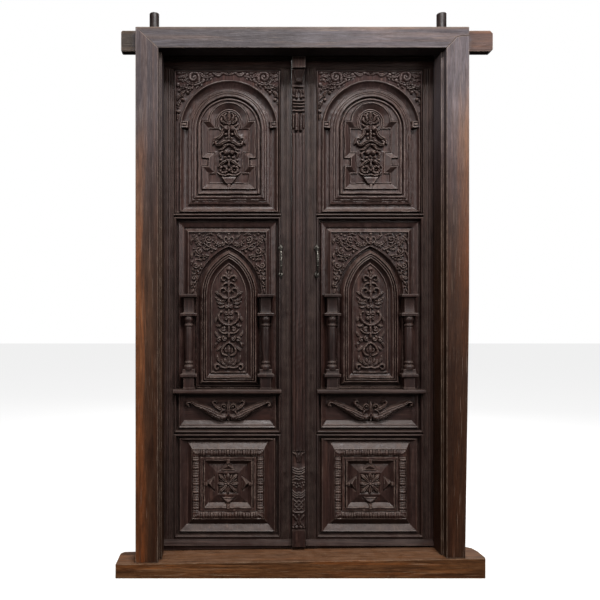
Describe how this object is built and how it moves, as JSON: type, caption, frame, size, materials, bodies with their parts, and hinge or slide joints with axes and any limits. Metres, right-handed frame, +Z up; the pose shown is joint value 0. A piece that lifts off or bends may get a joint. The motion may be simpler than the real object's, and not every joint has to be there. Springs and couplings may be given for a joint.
{
  "type": "carved double door with frame",
  "caption": "Pivot-hung pair of carved timber door leaves with arched panels, colonnettes and pulls, set in a mitred timber frame with a threshold.",
  "frame": {"origin": "underside of the threshold, midway between the jambs, in the plane of the front faces of the jambs", "axes": "+Z up, +X to the right as seen from the carved side, +Y into the building; the leaves swing towards +Y"},
  "size_m": [1.522, 0.192, 2.331],
  "materials": {
    "leaf_wood": "dark, satin, dusty",
    "frame_wood": "weathered, worn at the edges",
    "threshold_wood": "worn, scuffed",
    "pull_metal": "dark patina",
    "nail_iron": "rusted"
  },
  "bodies": {
    "frame": {"frame_pegs": "frame_wood", "left_jamb": "frame_wood", "lintel": "frame_wood", "right_jamb": "frame_wood", "threshold": "threshold_wood"},
    "left_leaf": {"left_apron_carving": "leaf_wood", "left_apron_moulding": "leaf_wood", "left_apron_panel": "leaf_wood", "left_bottom_moulding": "leaf_wood", "left_bottom_panel": "leaf_wood", "left_bottom_rail": "leaf_wood", "left_frieze_rail": "leaf_wood", "left_inner_colonnette": "leaf_wood", "left_leaf_pegs": "leaf_wood", "left_ledge": "leaf_wood", "left_ledge_rail": "leaf_wood", "left_lower_rail": "leaf_wood", "left_meeting_stile": "leaf_wood", "left_middle_moulding": "leaf_wood", "left_middle_panel": "leaf_wood", "left_outer_colonnette": "leaf_wood", "left_pivot_stile": "leaf_wood", "left_pull_handle": "pull_metal", "left_pull_nails": "nail_iron", "left_top_rail": "leaf_wood", "left_upper_moulding": "leaf_wood", "left_upper_panel": "leaf_wood"},
    "right_leaf": {"right_apron_carving": "leaf_wood", "right_apron_moulding": "leaf_wood", "right_apron_panel": "leaf_wood", "right_bottom_moulding": "leaf_wood", "right_bottom_panel": "leaf_wood", "right_bottom_rail": "leaf_wood", "right_cover_strip": "leaf_wood", "right_frieze_rail": "leaf_wood", "right_inner_colonnette": "leaf_wood", "right_leaf_pegs": "leaf_wood", "right_ledge": "leaf_wood", "right_ledge_rail": "leaf_wood", "right_lower_rail": "leaf_wood", "right_meeting_stile": "leaf_wood", "right_middle_moulding": "leaf_wood", "right_middle_panel": "leaf_wood", "right_outer_colonnette": "leaf_wood", "right_pivot_stile": "leaf_wood", "right_pull_handle": "pull_metal", "right_pull_nails": "nail_iron", "right_top_rail": "leaf_wood", "right_upper_moulding": "leaf_wood", "right_upper_panel": "leaf_wood"}
  },
  "joints": [
    {"name": "left_leaf_swing", "type": "hinge", "parent": "frame", "child": "left_leaf", "pos_m": [-0.61, 0.145, 0.07], "axis": [0, 0, 1], "range_deg": [0, 100]},
    {"name": "right_leaf_swing", "type": "hinge", "parent": "frame", "child": "right_leaf", "pos_m": [0.61, 0.145, 0.07], "axis": [0, 0, -1], "range_deg": [0, 100]}
  ]
}
